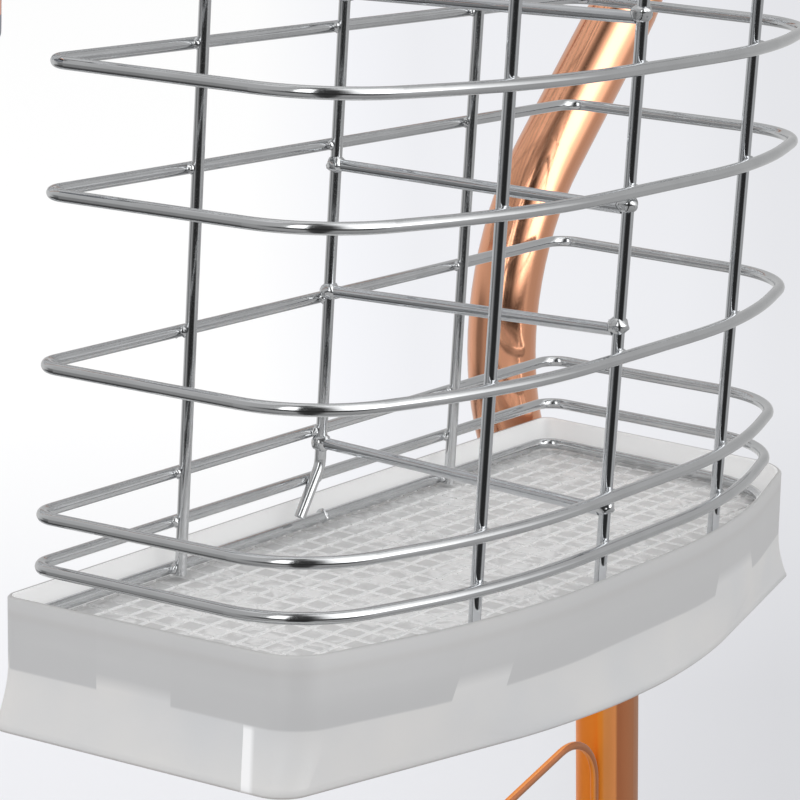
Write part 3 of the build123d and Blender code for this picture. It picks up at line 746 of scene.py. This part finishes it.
gap_end = mapped(add, from_back, long_tab, (level_tone(FRONT_GAP_END), level_tone(BOW_GAP_END)))
lower_end = add("ShaderNodeMix", i0=in_tab, i2=gap_end, i3=level_tone(TAB_END)).outputs[0]
softness = math_node(add, "MULTIPLY_ADD", in_tab, CRISP - SOFT, SOFT)
over_end = math_node(add, "DIVIDE", math_node(add, "SUBTRACT", height, lower_end), softness)
under_wall = math_node(add, "ADD", over_end, 0.5, clamp=True)
below_floor_line = tones_by_level([(3.4, 1.0), (4.6, 0.9), (7.4, 0.75)])
darkness = math_node(add, "MULTIPLY_ADD", in_tab, 1 - GAP_DARKNESS, GAP_DARKNESS)
painted_shade_band = math_node(add, "MULTIPLY", math_node(add, "MULTIPLY", under_wall, below_floor_line), darkness)
# Painted highlight: a bright streak down a bend of the skirt, below the step
past_start = math_node(add, "GREATER_THAN", around, wall_share(STREAK_START))
fall = mapped(add, around, [wall_share(end) for end in STREAK_FALL], (1.0, 0.0))
highlight_streak = math_node(add, "MULTIPLY", past_start, fall)
glint = math_node(add, "MULTIPLY", highlight_streak, tones_by_level([(-9.2, 1.0), (-8.2, 0.0)]))
# Painted shade: a dark line along the skirt's lower edge, and a fainter one a little above the basin floor
edge_line = tones_by_level([(-21.0, 0.7), (-20.6, 0.0)])
floor_line = tones_by_level([(2.2, 0.0), (3.6, 1.0), (4.1, 1.0), (5.0, 0.0)])
painted_shade_lines = math_node(add, "MAXIMUM", edge_line, math_node(add, "MULTIPLY", floor_line, FLOOR_LINE_SHARE))
plain = ramp(add, cloud, [(0.3, (0.60, 0.605, 0.61)), (0.7, (0.665, 0.655, 0.64))])
wall_tone = mixed(add, painted_shade_lines, mixed(add, glint, mixed(add, painted_shade_band, plain, SHADE_BAND_TONE), GLINT_TONE), LINE_TONE)
fine = add("ShaderNodeBump", Height=grain, Strength=0.3, Distance=0.00003).outputs[0]
shader = add(
    "ShaderNodeBsdfPrincipled", Base_Color=wall_tone, Roughness=0.40, IOR=1.45,
    Transmission_Weight=0.12, Normal=fine,
)
add("ShaderNodeOutputMaterial", Surface=shader.outputs[0])

bmesh.ops.transform(bm, matrix=cup_place, verts=bm.verts[:])
cup = new_piece("drip_cup_moulding", bm, cup_outside, "cup")
cup.data.materials.append(frosted)
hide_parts("drip_cup")
print("cup faces:", len(cup.data.polygons))


# %% Tabs inside the skirt
def row_between(row, start, end):
    """Points of an outline between two distances from its first point, with exact ends."""
    points, walked = [], 0.0
    for first, second in zip(row, row[1:] + row[:1]):
        run = (second - first).length
        for distance in (start, end):
            if walked <= distance < walked + run:
                points.append((distance, first.lerp(second, (distance - walked) / run)))
        walked += run
        if start < walked < end:
            points.append((walked, second))
    return [point for _, point in sorted(points, key=lambda pair: pair[0])]


TAB_THICKNESS, TAB_CLEARANCE = 1.2, 0.02
bm = bmesh.new()
plan = bmesh.new()
side_in, side_out = [
    [vert.co.copy() for vert in outline(plan, CUP_WALL + extra, 0.0)]
    for extra in (TAB_THICKNESS, TAB_CLEARANCE)
]
plan.free()
tab_ends = [*SIDE_TABS, BOW_TAB, *[(OPEN_LENGTH - high, OPEN_LENGTH - low) for low, high in SIDE_TABS]]
for ends in tab_ends:
    outer, inner = row_between(side_out, *ends), row_between(side_in, *ends)
    corners = [bm.verts.new((point.x, point.y, FLOOR_HEIGHT - CUP_WALL)) for point in outer + inner[::-1]]
    face = bm.faces.new(corners)
    made = bmesh.ops.extrude_face_region(bm, geom=[face])["geom"]
    moved = [item for item in made if isinstance(item, bmesh.types.BMVert)]
    bmesh.ops.translate(bm, verts=moved, vec=(0, 0, TAB_END - FLOOR_HEIGHT + CUP_WALL))
bmesh.ops.recalc_face_normals(bm, faces=bm.faces[:])
bmesh.ops.transform(bm, matrix=cup_place, verts=bm.verts[:])
new_piece("drip_cup_tabs", bm, frosted, "cup", smooth=False)
print("tabs:", len(tab_ends))

# %% [markdown]
# The basin's floor has a raised pattern of small squares, so that water runs off between them. A grid
# is inset face by face, the inner faces are lifted, and the grid is cut with the outline of the
# basin, one straight cut for each of its edges. Drops and the film of water make glossier, uneven
# patches that are painted lighter as a painted highlight, and the raised squares are painted darker
# than the grooves as painted shade.

# %% Floor of small squares
PAD_PITCH, PAD_GROOVE, PAD_LIFT, PAD_SLOPE = 5.9, 0.85, 0.35, 0.18
PADS_ACROSS, PADS_ALONG = 17, 37
SHEET_RISE, SHEET_CLEARANCE = 0.02, 0.05
bm = bmesh.new()
bmesh.ops.create_grid(bm, x_segments=PADS_ACROSS, y_segments=PADS_ALONG, size=0.5)
bmesh.ops.scale(bm, vec=(PADS_ACROSS * PAD_PITCH, PADS_ALONG * PAD_PITCH, 1), verts=bm.verts[:])
bmesh.ops.translate(bm, vec=(0, 0, FLOOR_HEIGHT + SHEET_RISE), verts=bm.verts[:])
pads = bm.faces[:]
bmesh.ops.inset_individual(bm, faces=pads, thickness=PAD_GROOVE, depth=0.0)
bmesh.ops.inset_individual(bm, faces=pads, thickness=PAD_SLOPE, depth=PAD_LIFT)
for face in bm.faces:
    face.material_index = 0
for face in pads:
    face.material_index = 1
plan = bmesh.new()
basin_line = [vert.co.copy() for vert in outline(plan, CUP_WALL + SHEET_CLEARANCE, 0.0)]
plan.free()
for first, second in zip(basin_line, basin_line[1:] + basin_line[:1]):
    outward = Vector((second.y - first.y, first.x - second.x, 0))
    bmesh.ops.bisect_plane(
        bm, geom=bm.verts[:] + bm.edges[:] + bm.faces[:], plane_co=first, plane_no=outward, clear_outer=True
    )


def wet_plastic_with_glints(name, colour, patch):
    """Frosted floor with an uneven film of water over it, its patches glossier and painted lighter as a
    painted highlight.
    """
    material = bpy.data.materials.new(name)
    tree, add = tree_of(material)
    place = add("ShaderNodeTexCoord").outputs["Object"]
    patches = add("ShaderNodeTexNoise", Vector=place, Scale=130.0, Detail=3.0, Roughness=0.55, Distortion=1.2)
    wet_and_glint = ramp(add, patches.outputs["Fac"], [(0.51, 0.0), (0.55, 1.0)])
    tint = mixed(add, wet_and_glint, (*colour, 1.0), (*patch, 1.0))
    rough = mapped(add, wet_and_glint, (0.0, 1.0), (0.36, 0.20))
    film = add("ShaderNodeBump", Height=patches.outputs["Fac"], Strength=0.35, Distance=0.0012).outputs[0]
    shader = add("ShaderNodeBsdfPrincipled", Base_Color=tint, Roughness=rough, IOR=1.4, Normal=film)
    add("ShaderNodeOutputMaterial", Surface=shader.outputs[0])
    return material


# Painted shade: the raised squares are darker than the grooves of the same plastic
grooves = wet_plastic_with_glints("cup_grooves", (0.84, 0.84, 0.84), (0.82, 0.82, 0.82))
pad_tops = wet_plastic_with_glints("cup_pads", (0.62, 0.62, 0.62), (0.80, 0.80, 0.80))
bmesh.ops.transform(bm, matrix=cup_place, verts=bm.verts[:])
pattern = new_piece("drip_cup_floor_squares", bm, grooves, "cup", smooth=False)
pattern.data.materials.append(pad_tops)
print("floor faces:", len(pattern.data.polygons))

# %% Colour view
bpy.context.scene.view_settings.view_transform = "Standard"
